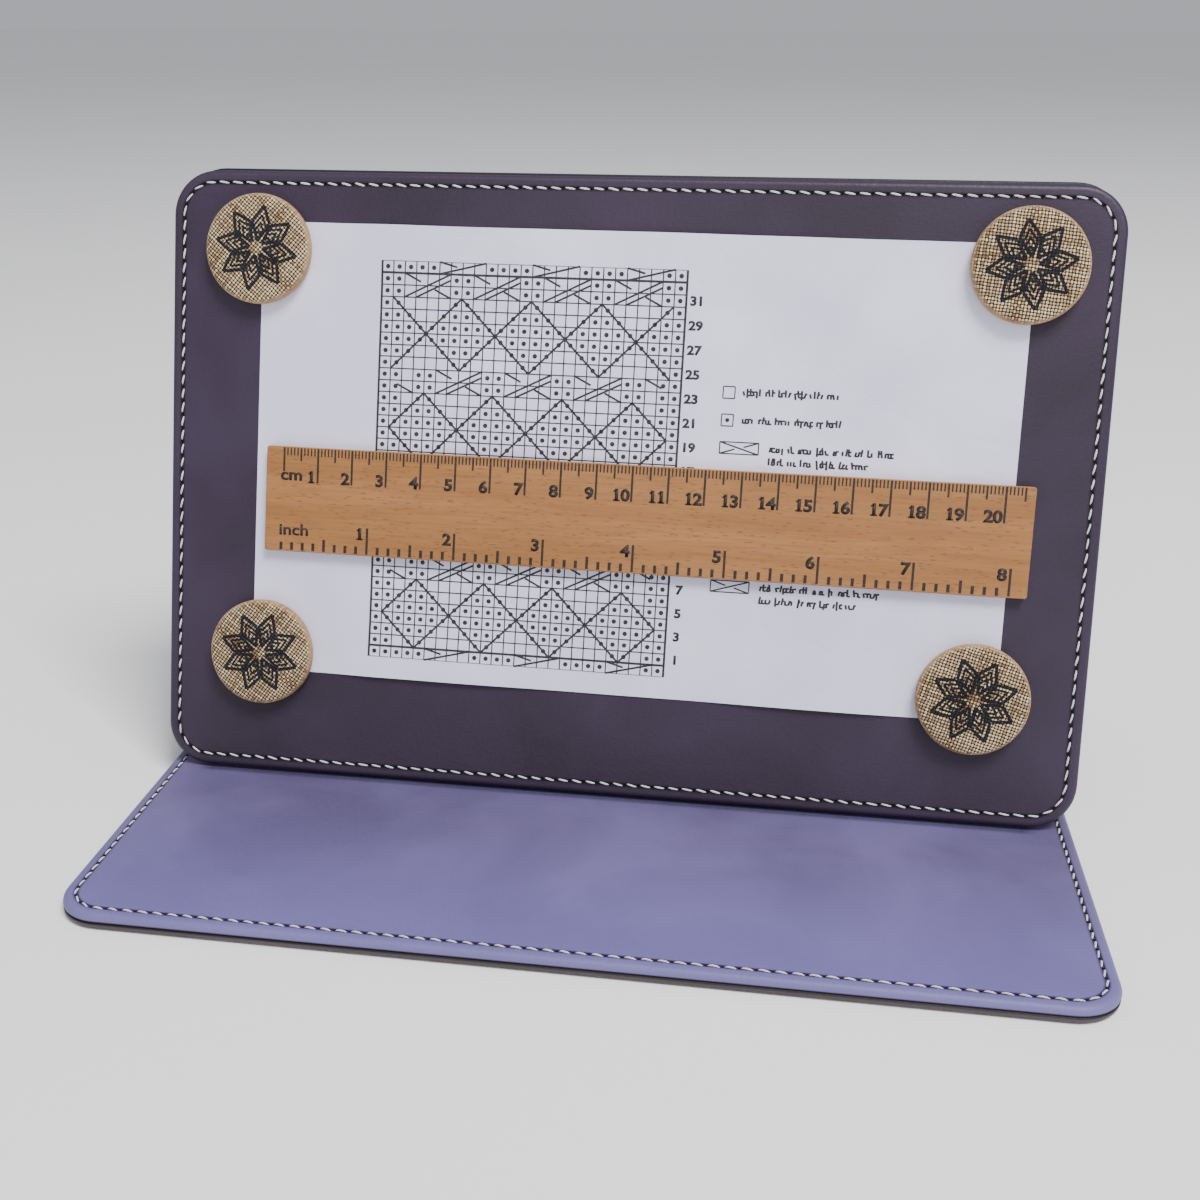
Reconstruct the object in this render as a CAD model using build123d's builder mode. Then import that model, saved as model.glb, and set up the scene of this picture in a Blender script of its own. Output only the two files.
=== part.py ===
import os
from math import atan2, cos, degrees, hypot, radians, sin, sqrt, tan

from build123d import *

os.makedirs("parts", exist_ok=True)

# A knitting pattern holder that folds out of three stitched leaves of faux leather: a base leaf on the
# table, a display leaf with a steel sheet inside that leans back, and a strut leaf behind it. Magnets
# in four covered buttons and in a wooden ruler hold a paper pattern on the display leaf.
# Millimetres and degrees. X runs to the right, Y away from the reader and Z up.

# Leaves
leaf_width = 261.0
leaf_height = 172.0
base_depth = 178.0
leaf_thickness = 4.4
corner_radius = 12.5
front_skin_depth = 2.4
skin_thickness = 0.9
front_edge_round = 1.6
back_edge_round = 1.3
seam_bevel = 0.35
skin_rim = 5.0
core_clearance = 0.3
core_radius = 7.0
steel_thickness = 0.5

# Stitching along the edge of every leaf
stitch_inset = 3.4
stitch_groove_width = 0.9
stitch_groove_depth = 0.25
thread_width = 0.6

# Standing pose
lean = 15.0
least_lean = 0.5
greatest_lean = 29.0
foot_gap = 0.3
rear_margin = 1.5

# Leather hinges
hinge_length = 226.0
top_hinge_thickness = 0.8
top_hinge_leg = 18.0
top_hinge_drop = 1.0
hinge_fold_gap = 0.1
spine_thickness = 0.9
spine_leg = 15.0
spine_tuck = 4.5
spine_side_room = 0.2
spine_start = 0.1

# Magnets that hold the foot of the display leaf
foot_magnet_length = 60.0
foot_magnet_width = 8.0
foot_magnet_thickness = 1.5
foot_magnet_spacing = 140.0
magnet_clearance = 0.1

# Pattern sheet, held so far below the top edge of the display leaf
sheet_width = 211.5
sheet_height = 128.0
sheet_thickness = 0.25
sheet_across = 1.6
sheet_below_top = 78.7
sheet_turn = -0.45

# Ruler
ruler_length = 213.0
ruler_width = 30.0
ruler_thickness = 2.6
ruler_across = 5.9
ruler_below_top = 92.7
ruler_turn = -0.52
ruler_corner = 0.8
ruler_edge_round = 0.3
ruler_magnet_radius = 5.0
ruler_magnet_depth = 1.5
ruler_magnet_inset = 25.0
lying_gap = 0.05
ruler_stop_gap = 1.0

# Covered magnet buttons
button_radius = 15.2
button_height = 4.9
button_dome = 0.5
button_edge_round = 1.6
cover_thickness = 0.45
cap_thickness = 0.6
cap_mouth_radius = 13.2
back_plate_radius = 12.6
back_plate_thickness = 1.1
button_magnet_radius = 8.0
button_magnet_thickness = 2.4
button_pull = 20.0
# Place across, place below the leaf's top edge, and turn of the print
button_places = {
    "top_left": (-104.0, 21.9, 12.0),
    "top_right": (106.0, 21.3, -14.0),
    "bottom_left": (-101.0, 136.5, 4.0),
    "bottom_right": (100.4, 136.8, -4.0),
}

# Worked out from the sizes above
sheet_up = leaf_height - sheet_below_top
ruler_up = leaf_height - ruler_below_top
back_skin_depth = leaf_thickness - front_skin_depth
core_thickness = leaf_thickness - 2 * skin_thickness
hinge_offset = top_hinge_thickness + hinge_fold_gap
half_leaf = leaf_thickness / 2
pivot_up = leaf_height - top_hinge_drop
link_length = hypot(pivot_up - half_leaf, half_leaf + hinge_offset)
link_lean = radians(lean) + atan2(half_leaf + hinge_offset, pivot_up - half_leaf)
foot_spacing = 2 * link_length * sin(link_lean)
foot_reach = (half_leaf - back_edge_round) * (cos(radians(lean)) + sin(radians(lean))) + back_edge_round
foot_height = leaf_thickness + foot_gap + foot_reach

# The leather spine leaves the base leaf's rear seam, turns up in one arc and lies on the strut leaf
seam_height = leaf_thickness - front_skin_depth
spine_level = seam_height + spine_thickness / 2
spine_turn = radians(90 + lean)
leg_offset = half_leaf + spine_thickness / 2
leg_foot_out = (leg_offset + (foot_height - spine_level) * sin(radians(lean))) / cos(radians(lean))
spine_radius = (leg_foot_out - rear_margin - spine_start) / tan(spine_turn / 2)
spine_bulge = spine_start + spine_radius + spine_thickness / 2

# Places along Y, with the origin under the middle of the whole stand
base_front = -(base_depth + spine_bulge) / 2
base_rear = base_front + base_depth
strut_foot = base_rear - rear_margin
display_foot = strut_foot - foot_spacing


def leaf_plane(foot, toward):
    """A standing leaf's outer face, from the middle of its bottom edge; toward is -1 or 1 along Y."""
    outward = Vector(0, toward * cos(radians(lean)), sin(radians(lean)))
    up = Vector(0, -toward * sin(radians(lean)), cos(radians(lean)))
    corner = Vector(0, foot, foot_height) + outward * half_leaf - up * half_leaf
    return Plane(origin=corner, x_dir=(-toward, 0, 0), z_dir=outward)


def back_of(plane):
    """Plane on the other face of the same leaf, also facing outwards."""
    return Plane(
        origin=plane.origin - plane.z_dir * leaf_thickness,
        x_dir=-plane.x_dir,
        z_dir=-plane.z_dir,
    )


def on_leaf(plane, across, up, out, turn=0.0):
    """Plane that lies on a leaf at a place measured on it, turned in the leaf's own plane."""
    spot = plane.origin + plane.x_dir * across + plane.y_dir * up + plane.z_dir * out
    along = plane.x_dir * cos(radians(turn)) + plane.y_dir * sin(radians(turn))
    return Plane(origin=spot, x_dir=along, z_dir=plane.z_dir)


def side_point(plane, up, out):
    """The same kind of place as (Y, Z), for outlines drawn from the side."""
    spot = plane.origin + plane.y_dir * up + plane.z_dir * out
    return (spot.Y, spot.Z)


base_plane = Plane(origin=(0, base_front, leaf_thickness), x_dir=(1, 0, 0), z_dir=(0, 0, 1))
display_plane = leaf_plane(display_foot, -1)
strut_plane = leaf_plane(strut_foot, 1)
fold_axis = side_point(display_plane, pivot_up, -leaf_thickness - hinge_offset)


def leaf_outline(height, inset, mode=Mode.ADD):
    """The leaf's rounded outline, moved in from its edge."""
    with Locations((0, height / 2)):
        RectangleRounded(leaf_width - 2 * inset, height - 2 * inset, corner_radius - inset, mode=mode)


def make_skin(plane, height, depth, edge_round, spine_slot=False):
    """One faux leather skin, turned over the edge of the core down to the seam."""
    hollow_width = leaf_width - 2 * skin_rim
    hollow_height = height - 2 * skin_rim
    with BuildPart() as skin:
        with BuildSketch(plane.offset(-depth)):
            leaf_outline(height, 0)
        extrude(amount=depth)
        through = Axis(plane.origin, plane.z_dir)
        fillet(skin.faces().sort_by(through)[-1].edges(), edge_round)
        chamfer(skin.faces().sort_by(through)[0].edges(), seam_bevel)
        # Hollow for the core
        with BuildSketch(plane.offset(-depth)):
            with Locations((0, height / 2)):
                RectangleRounded(hollow_width, hollow_height, core_radius + core_clearance)
        extrude(amount=depth - skin_thickness, mode=Mode.SUBTRACT)
        # Groove that the stitches pull into the face
        with BuildSketch(plane):
            leaf_outline(height, stitch_inset - stitch_groove_width / 2)
            leaf_outline(height, stitch_inset + stitch_groove_width / 2, mode=Mode.SUBTRACT)
        extrude(amount=-stitch_groove_depth, mode=Mode.SUBTRACT)
        if spine_slot:
            with BuildSketch(plane.offset(-depth)):
                with Locations((0, height - spine_tuck / 2)):
                    Rectangle(hinge_length + 2 * spine_side_room, spine_tuck)
            extrude(amount=spine_thickness, mode=Mode.SUBTRACT)
    return skin.part


def make_core(plane, height, top, thickness):
    """A stiff sheet that fills the skins' hollow from the depth top down."""
    inset = skin_rim + core_clearance
    with BuildPart() as core:
        with BuildSketch(plane.offset(-top)):
            with Locations((0, height / 2)):
                RectangleRounded(leaf_width - 2 * inset, height - 2 * inset, core_radius)
        extrude(amount=-thickness)
    return core.part


def make_thread(plane, height):
    """The sewing thread in the grooves of both faces, each run as one flat ring."""
    with BuildPart() as thread:
        for face in (plane, back_of(plane)):
            with BuildSketch(face):
                leaf_outline(height, stitch_inset - thread_width / 2)
                leaf_outline(height, stitch_inset + thread_width / 2, mode=Mode.SUBTRACT)
            extrude(amount=-stitch_groove_depth)
    return thread.part


def keep(piece, name):
    """Name a finished piece and write its file."""
    piece.label = name
    export_step(piece, "parts/" + name + ".step")


# Skins and threads of the three leaves
keep(make_skin(base_plane, base_depth, front_skin_depth, front_edge_round, spine_slot=True), "base_top_skin")
keep(make_skin(back_of(base_plane), base_depth, back_skin_depth, back_edge_round), "base_bottom_skin")
keep(make_thread(base_plane, base_depth), "base_thread")
keep(make_skin(display_plane, leaf_height, front_skin_depth, front_edge_round), "display_front_skin")
keep(make_skin(back_of(display_plane), leaf_height, back_skin_depth, back_edge_round), "display_back_skin")
keep(make_thread(display_plane, leaf_height), "display_thread")
keep(make_skin(strut_plane, leaf_height, front_skin_depth, front_edge_round), "strut_outer_skin")
keep(make_skin(back_of(strut_plane), leaf_height, back_skin_depth, back_edge_round), "strut_inner_skin")
keep(make_thread(strut_plane, leaf_height), "strut_thread")

# Cores: a steel sheet over grey board in the display leaf, plain grey board in the other two
steel_bottom = skin_thickness + steel_thickness
keep(make_core(display_plane, leaf_height, skin_thickness, steel_thickness), "display_steel_sheet")
keep(make_core(display_plane, leaf_height, steel_bottom, core_thickness - steel_thickness), "display_board")
keep(make_core(strut_plane, leaf_height, skin_thickness, core_thickness), "strut_board")

# The base leaf's board holds two bar magnets under the foot of the display leaf
magnet_plane = base_plane.offset(-skin_thickness)
magnet_up = display_foot - base_front
with BuildPart() as base_board:
    add(make_core(base_plane, base_depth, skin_thickness, core_thickness))
    with BuildSketch(magnet_plane):
        with Locations((-foot_magnet_spacing / 2, magnet_up), (foot_magnet_spacing / 2, magnet_up)):
            Rectangle(foot_magnet_length + 2 * magnet_clearance, foot_magnet_width + 2 * magnet_clearance)
    extrude(amount=-foot_magnet_thickness, mode=Mode.SUBTRACT)
keep(base_board.part, "base_board")

for side, across in (("left", -foot_magnet_spacing / 2), ("right", foot_magnet_spacing / 2)):
    with BuildPart() as foot_magnet:
        with BuildSketch(magnet_plane):
            with Locations((across, magnet_up)):
                Rectangle(foot_magnet_length, foot_magnet_width)
        extrude(amount=-foot_magnet_thickness)
    keep(foot_magnet.part, "foot_magnet_" + side)

# Leather strip inside the top fold: one leg glued on each leaf, joined by a tight bend round the axis
display_inner = -leaf_thickness
strip_bottom = pivot_up - top_hinge_leg
strip_top = (fold_axis[0], fold_axis[1] + hinge_offset)
bend_top = (fold_axis[0], fold_axis[1] + hinge_fold_gap)
strip_face = display_inner - top_hinge_thickness
with BuildPart() as top_hinge_strip:
    with BuildSketch(Plane.YZ):
        with BuildLine():
            Line(
                side_point(display_plane, strip_bottom, display_inner),
                side_point(display_plane, pivot_up, display_inner),
            )
            ThreePointArc(
                side_point(display_plane, pivot_up, display_inner),
                strip_top,
                side_point(strut_plane, pivot_up, display_inner),
            )
            Polyline(
                side_point(strut_plane, pivot_up, display_inner),
                side_point(strut_plane, strip_bottom, display_inner),
                side_point(strut_plane, strip_bottom, strip_face),
                side_point(strut_plane, pivot_up, strip_face),
            )
            ThreePointArc(
                side_point(strut_plane, pivot_up, strip_face),
                bend_top,
                side_point(display_plane, pivot_up, strip_face),
            )
            Polyline(
                side_point(display_plane, pivot_up, strip_face),
                side_point(display_plane, strip_bottom, strip_face),
                side_point(display_plane, strip_bottom, display_inner),
            )
        make_face()
    extrude(amount=hinge_length / 2, both=True)
keep(top_hinge_strip.part, "top_hinge_strip")

# Leather spine between the base leaf's rear seam and the strut leaf's outer face
spine_centre = (base_rear + spine_start, spine_level + spine_radius)
outer_radius = spine_radius + spine_thickness / 2
inner_radius = spine_radius - spine_thickness / 2


def spine_arc_point(radius, angle):
    """A place on an arc about the spine's centre, with the angle measured up from the horizontal."""
    return (spine_centre[0] + radius * cos(radians(angle)), spine_centre[1] + radius * sin(radians(angle)))


with BuildPart() as spine_strip:
    with BuildSketch(Plane.YZ):
        with BuildLine():
            Polyline(
                spine_arc_point(inner_radius, -90),
                (base_rear - spine_tuck, spine_level + spine_thickness / 2),
                (base_rear - spine_tuck, spine_level - spine_thickness / 2),
                spine_arc_point(outer_radius, -90),
            )
            ThreePointArc(
                spine_arc_point(outer_radius, -90),
                spine_arc_point(outer_radius, -45),
                spine_arc_point(outer_radius, lean),
            )
            Polyline(
                spine_arc_point(outer_radius, lean),
                side_point(strut_plane, spine_leg, spine_thickness),
                side_point(strut_plane, spine_leg, 0),
                spine_arc_point(inner_radius, lean),
            )
            ThreePointArc(
                spine_arc_point(inner_radius, lean),
                spine_arc_point(inner_radius, -45),
                spine_arc_point(inner_radius, -90),
            )
        make_face()
    extrude(amount=hinge_length / 2, both=True)
keep(spine_strip.part, "spine_strip")

# Paper pattern, lying on the display leaf
sheet_plane = on_leaf(display_plane, sheet_across, sheet_up, 0, sheet_turn)
with BuildPart() as pattern_sheet:
    with BuildSketch(sheet_plane):
        Rectangle(sheet_width, sheet_height)
    extrude(amount=sheet_thickness)
keep(pattern_sheet.part, "pattern_sheet")

# Wooden ruler with two disc magnets let into its back
lying_level = sheet_thickness + lying_gap
ruler_plane = on_leaf(display_plane, ruler_across, ruler_up, lying_level, ruler_turn)
magnet_x = ruler_length / 2 - ruler_magnet_inset
with BuildPart() as ruler_body:
    with BuildSketch(ruler_plane):
        RectangleRounded(ruler_length, ruler_width, ruler_corner)
    extrude(amount=ruler_thickness)
    ruler_through = Axis(ruler_plane.origin, ruler_plane.z_dir)
    fillet(ruler_body.faces().sort_by(ruler_through)[-1].edges(), ruler_edge_round)
    with BuildSketch(ruler_plane):
        with Locations((-magnet_x, 0), (magnet_x, 0)):
            Circle(ruler_magnet_radius + magnet_clearance)
    extrude(amount=ruler_magnet_depth, mode=Mode.SUBTRACT)
keep(ruler_body.part, "ruler_body")

for side, across in (("left", -magnet_x), ("right", magnet_x)):
    with BuildPart() as ruler_magnet:
        with BuildSketch(ruler_plane):
            with Locations((across, 0)):
                Circle(ruler_magnet_radius)
        extrude(amount=ruler_magnet_depth)
    keep(ruler_magnet.part, "ruler_magnet_" + side)


def button_profile(inset):
    """Half of the button's section, moved in from its outside; X is the radius and Y the height."""
    radius = button_radius - inset
    rim_height = button_height - button_dome - inset
    top = button_height - inset
    dome_radius = (radius**2 + button_dome**2) / (2 * button_dome)
    halfway = top - dome_radius + sqrt(dome_radius**2 - radius**2 / 4)
    with BuildSketch() as section:
        with BuildLine():
            Polyline((0, top), (0, inset), (radius, inset), (radius, rim_height))
            ThreePointArc((radius, rim_height), (radius / 2, halfway), (0, top))
        make_face()
        fillet(section.vertices().sort_by(Axis.X)[-2:], button_edge_round - inset)
    return section.sketch


def make_button_shell(plane, inset, thickness, mouth_radius):
    """A cup over the button's top and side, turned in below and open in the middle of its back."""
    section = Plane(origin=plane.origin, x_dir=plane.x_dir, z_dir=-plane.y_dir)
    through = Axis(plane.origin, plane.z_dir)
    with BuildPart() as shell:
        with BuildSketch(section):
            add(button_profile(inset))
        revolve(axis=through)
        with BuildSketch(section):
            add(button_profile(inset + thickness))
        revolve(axis=through, mode=Mode.SUBTRACT)
        with BuildSketch(plane):
            Circle(mouth_radius)
        extrude(amount=inset + 2 * thickness, mode=Mode.SUBTRACT)
    return shell.part


def make_disc(plane, radius, thickness, hole_radius=0.0):
    """A flat disc or ring that starts at the button's back."""
    with BuildPart() as disc:
        with BuildSketch(plane):
            Circle(radius)
            if hole_radius:
                Circle(hole_radius, mode=Mode.SUBTRACT)
        extrude(amount=thickness)
    return disc.part


# Four magnet buttons: fabric cover, steel cap, back plate and magnet
back_hole = button_magnet_radius + magnet_clearance
cover_mouth = back_plate_radius + magnet_clearance
for place, (across, below_top, turn) in button_places.items():
    spot = on_leaf(display_plane, across, leaf_height - below_top, lying_level, turn)
    keep(make_button_shell(spot, 0, cover_thickness, cover_mouth), place + "_button_cover")
    keep(make_button_shell(spot, cover_thickness, cap_thickness, cap_mouth_radius), place + "_button_cap")
    keep(make_disc(spot, back_plate_radius, back_plate_thickness, back_hole), place + "_button_back_plate")
    keep(make_disc(spot, button_magnet_radius, button_magnet_thickness), place + "_button_magnet")

# What the record needs: fold axes, ranges and the ruler's room between the buttons
button_ups = [leaf_height - below_top for _, below_top, _ in button_places.values()]
lowest_top_button = min(up for up in button_ups if up > ruler_up) - button_radius
highest_low_button = max(up for up in button_ups if up < ruler_up) + button_radius
ruler_half_tilt = ruler_length / 2 * sin(radians(abs(ruler_turn)))
ruler_up_room = lowest_top_button - ruler_up - ruler_width / 2 - ruler_half_tilt - ruler_stop_gap
ruler_down_room = ruler_up - ruler_width / 2 - ruler_half_tilt - highest_low_button - ruler_stop_gap
print("strut fold axis Y, Z", round(strut_foot, 4), round(foot_height, 4))
print("board fold axis Y, Z", round(fold_axis[0], 4), round(fold_axis[1], 4))
print("strut fold range", least_lean - lean, greatest_lean - lean)
print("ruler slide range", round(-ruler_down_room, 3), round(ruler_up_room, 3))
print("button pull range", 0, button_pull)
print("display leaf front", round(display_plane.origin.Y - base_front, 3), "mm behind the base leaf's front")
print("spine radius", round(spine_radius, 3), "bulge", round(spine_bulge, 3))
print("link lean", round(degrees(link_lean), 3), "foot spacing", round(foot_spacing, 3))
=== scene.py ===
# %% [markdown]
# # A knitting pattern holder
#
# The holder is a tent of three stitched leaves. One lies on the table, one leans back and holds a
# paper pattern under four covered magnet buttons and a wooden ruler, and one stands behind it. The
# hard shapes come from a imported CAD model, which stays as it is. This script gives each part the
# finish of its real material, and adds what the CAD model leaves out: single stitches, a paper with
# waves, its printed chart, the ruler's scales, woven covers and folds of leather.

# %% Load the CAD model
import math
import random

import bpy
from mathutils import Matrix, Vector


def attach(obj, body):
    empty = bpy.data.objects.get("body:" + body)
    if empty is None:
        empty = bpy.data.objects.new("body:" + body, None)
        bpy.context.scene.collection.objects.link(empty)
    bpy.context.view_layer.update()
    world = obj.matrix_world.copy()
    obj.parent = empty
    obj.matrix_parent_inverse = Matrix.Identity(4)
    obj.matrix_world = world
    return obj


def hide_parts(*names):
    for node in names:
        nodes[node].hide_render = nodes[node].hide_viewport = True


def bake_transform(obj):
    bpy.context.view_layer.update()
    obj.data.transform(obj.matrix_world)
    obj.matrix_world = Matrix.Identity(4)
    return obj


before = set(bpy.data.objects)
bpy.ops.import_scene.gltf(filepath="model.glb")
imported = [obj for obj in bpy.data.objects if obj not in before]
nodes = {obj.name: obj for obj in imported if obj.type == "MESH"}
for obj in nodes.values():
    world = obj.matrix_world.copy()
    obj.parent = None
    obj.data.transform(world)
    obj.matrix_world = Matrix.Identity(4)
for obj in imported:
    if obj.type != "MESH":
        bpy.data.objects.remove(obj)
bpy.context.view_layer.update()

MM = 0.001
print("CAD nodes:", len(nodes))

# %% [markdown]
# ## The camera
#
# The photograph looks down at the holder from in front. A camera can be placed by eye, but here the
# ruler's centimetre ticks and the straight edges of two leaves give enough points to work out its
# place, its turn and its lens together, to about one pixel. The picture was cropped off its middle,
# which a small lens shift repeats.

# %% The camera
camera_data = bpy.data.cameras.new("photo_camera")
camera_data.sensor_width = 36.0
camera_data.lens = 44.697
camera_data.shift_x = 0.05164
camera_data.shift_y = 0.02923
camera = bpy.data.objects.new("photo_camera", camera_data)
camera.location = (0.042586, -0.385169, 0.211162)
camera.rotation_euler = [math.radians(turn) for turn in (67.5355, -0.0515, 9.2305)]
bpy.context.scene.collection.objects.link(camera)
bpy.context.scene.camera = camera
print("camera is", round(camera.location.length / MM), "mm from the middle of the stand's foot")

# %% [markdown]
# ## Where the leaves are
#
# Most of what is added lies flat on a leaf: stitches, paper, print, buttons. It is easiest to model
# such a piece lying flat, measured across and up the leaf, and to set it on the leaf afterwards. So
# each leaf gets one matrix, at the middle of its bottom edge, that takes its own measures to the
# model's frame. The piece's mesh is moved by that matrix, and its object stays at the origin.

# %% A matrix for each leaf's face
LEAN = 15.0
LEAF_WIDTH = 261.0
LEAF_HEIGHT = 172.0
BASE_DEPTH = 178.0
LEAF_THICKNESS = 4.4
CORNER_RADIUS = 12.5
SEAM_INSET = 3.4
FOOT_HEIGHT = 5.547

def moved(x, y, z=0.0):
    """A matrix that moves by millimetres."""
    return Matrix.Translation((x * MM, y * MM, z * MM))

def turned(angle, axis="Z"):
    """A matrix that turns by degrees about an axis."""
    return Matrix.Rotation(math.radians(angle), 4, axis)

def back_of(face):
    """The other face of the same leaf, also facing outwards."""
    return face @ moved(0.0, 0.0, -LEAF_THICKNESS) @ turned(180.0, "Y")

base_top = moved(0.0, -90.192, LEAF_THICKNESS)
display_front = moved(0.0, -9.752, FOOT_HEIGHT) @ turned(90.0 - LEAN, "X")
strut_outside = moved(0.0, 89.002, FOOT_HEIGHT) @ turned(180.0) @ turned(90.0 - LEAN, "X")
# Each leaf's face, its height, and the names of its two sides
leaves = {
    "base": (base_top, BASE_DEPTH, "top", "bottom"),
    "display": (display_front, LEAF_HEIGHT, "front", "back"),
    "strut": (strut_outside, LEAF_HEIGHT, "outer", "inner"),
}
print("the display leaf's top edge is at", [round(x / MM, 1) for x in display_front @ Vector((0, 0.172, 0))])

# %% [markdown]
# ## Tools for pieces
#
# A few helpers keep the modelling short. Blender's operators act on everything that is selected, so
# each piece starts with nothing selected. Places in a mesh are picked by a test on their
# coordinates, which is what a modeller does with a selection box.

# %% Helpers for modelling
def new_piece(add, **settings):
    """Deselect everything, add a primitive by its operator, and give the new object."""
    bpy.ops.object.select_all(action="DESELECT")
    bpy.context.tool_settings.mesh_select_mode = (True, False, False)
    add(**settings)
    return bpy.context.object

def pick(piece, wanted):
    """Go into edit mode with only the vertices selected that pass a test on their place in mm."""
    bpy.ops.object.mode_set(mode="EDIT")
    bpy.ops.mesh.select_all(action="DESELECT")
    bpy.ops.object.mode_set(mode="OBJECT")
    for vertex in piece.data.vertices:
        vertex.select = wanted(vertex.co / MM)
    bpy.ops.object.mode_set(mode="EDIT")

def select_only(pieces):
    """Select these objects alone, with the first as the active one."""
    bpy.ops.object.select_all(action="DESELECT")
    for piece in pieces:
        piece.select_set(True)
    bpy.context.view_layer.objects.active = pieces[0]

def apply_modifier(piece, kind, **settings):
    """Add a modifier with its settings and apply it."""
    select_only([piece])
    modifier = piece.modifiers.new(kind.title(), kind)
    for name, value in settings.items():
        setattr(modifier, name, value)
    bpy.ops.object.modifier_apply(modifier=modifier.name)

def joined(pieces):
    """Join several objects into one piece."""
    select_only(pieces)
    bpy.ops.object.join()
    return pieces[0]

def set_at(model, place):
    """A copy of a modelled piece with its own mesh, moved by a matrix."""
    copy = model.copy()
    copy.data = model.data.copy()
    copy.data.transform(place)
    bpy.context.scene.collection.objects.link(copy)
    return copy

def copies_at(model, places):
    """Copies of one modelled piece at many places, joined. The model itself is used up."""
    made = [set_at(model, place) for place in places]
    bpy.data.objects.remove(model)
    return joined(made)

def give_material(piece, material):
    """Put one material on a piece or on a CAD node, whose shape stays as it is."""
    piece.data.materials.clear()
    piece.data.materials.append(material)

def dress(material, *names):
    """Give CAD nodes a material."""
    for name in names:
        give_material(nodes[name], material)

def finish_piece(piece, name, material, body, replaces=()):
    """Name a piece, give it its material, and let it ride on its body."""
    piece.name = name
    piece.data.name = name
    give_material(piece, material)
    if body:
        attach(piece, body)
    if replaces:
        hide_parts(*replaces)
    print(name, "has", len(piece.data.polygons), "faces")

# %% [markdown]
# ## Tools for materials
#
# A material here is a small network of nodes that works out colour, roughness and fine relief from
# the place on the surface. Colours are written as the sRGB hex values that a picture program shows,
# and one function turns them into the linear values that light is worked out with. Pattern sizes
# are given in millimetres, as the real thing would be measured. A new material comes with a
# function that adds any node to it with its settings and links, and gives the output that the next
# node is fed with. In a Mix node for colours, socket 0 is the share, sockets 6 and 7 are the two
# colours, and output 2 is the result.

# %% Helpers for materials
def colour(hex_value):
    """An sRGB hex colour as the linear colour that a shader takes."""
    parts = [int(hex_value[i:i + 2], 16) / 255 for i in (1, 3, 5)]
    return [p / 12.92 if p <= 0.04045 else ((p + 0.055) / 1.055) ** 2.4 for p in parts] + [1.0]

def new_material(name):
    """A material with no nodes in it yet, and the function that adds nodes to it."""
    material = bpy.data.materials.new(name)
    material.use_nodes = True
    tree = material.node_tree
    tree.nodes.clear()

    def add_node(kind, inputs=(), output=0, **settings):
        """Add a node with its settings, fill its inputs in order or by name, and give one output."""
        node = tree.nodes.new("ShaderNode" + kind)
        for key, value in settings.items():
            setattr(node, key, value)
        for key, value in inputs.items() if isinstance(inputs, dict) else enumerate(inputs):
            if isinstance(value, bpy.types.NodeSocket):
                tree.links.new(value, node.inputs[key])
            else:
                node.inputs[key].default_value = value
        return node.outputs[output] if node.outputs else None

    return material, add_node

def finished(material, add, relief, strength, depth, inputs):
    """Close a material: its relief, so many mm deep, and its shader with the inputs that it is fed."""
    bump = add("Bump", {"Height": relief, "Strength": strength, "Distance": depth * MM})
    add("OutputMaterial", (add("BsdfPrincipled", {"Normal": bump, **inputs}),))
    return material

def per_mm(size):
    """The scale of a texture whose pattern has that size in millimetres, on coordinates in metres."""
    return 1.0 / (size * MM)

def two_tone(name, dark, light, grain, roughness, specular=0.5, limits=(0.4, 0.8), relief=(0.1, 0.02), **texture):
    """A finish of two close tones, mixed by a noise of that grain in mm, which also gives its fine relief."""
    finish, add = new_material(name)
    place = add("TexCoord", output="Object")
    noise = add("TexNoise", {"Vector": place, "Scale": per_mm(grain), "Detail": 3.0, **texture})
    share = add("MapRange", (noise, *limits))
    return finished(finish, add, noise, *relief, {
        "Base Color": add("Mix", {0: share, 6: colour(dark), 7: colour(light)}, 2, data_type="RGBA"),
        "Roughness": roughness,
        "Specular IOR Level": specular,
    })

# %% [markdown]
# ## Faux leather
#
# The leaves are covered with polyurethane faux leather: a thin coloured plastic film, embossed with
# a fine grain by a roller, on a knitted backing. That gives a soft satin gloss, a shallow pebble
# grain of about a millimetre, and slow changes of tone where the film has been pulled over the
# board. Along the turned edge it is rubbed a little paler, and where the thread pulls it down it
# lies in shade. The outside is a dark plum, and the faces that meet inside the folds are lavender,
# with their rims painted plum. The base leaf's underside is taupe. A Mapping node gives each leaf's
# own measures, and the distance from a rectangle inside the leaf then finds its rounded edge. All
# of this is gathered as layers, each a share and a colour, and laid over each other at the end.

# %% Faux leather
RIM = CORNER_RADIUS * MM
# A painted shadow line lies on the base leaf where the display leaf's foot stands on it
FOOT_SHADOW_LINE = -8.0  # where the display leaf's foot stands on the base leaf, from the base leaf's middle
FOOT_SHADOW_HALF_LENGTH = LEAF_WIDTH / 2 - CORNER_RADIUS + 3.0

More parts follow.
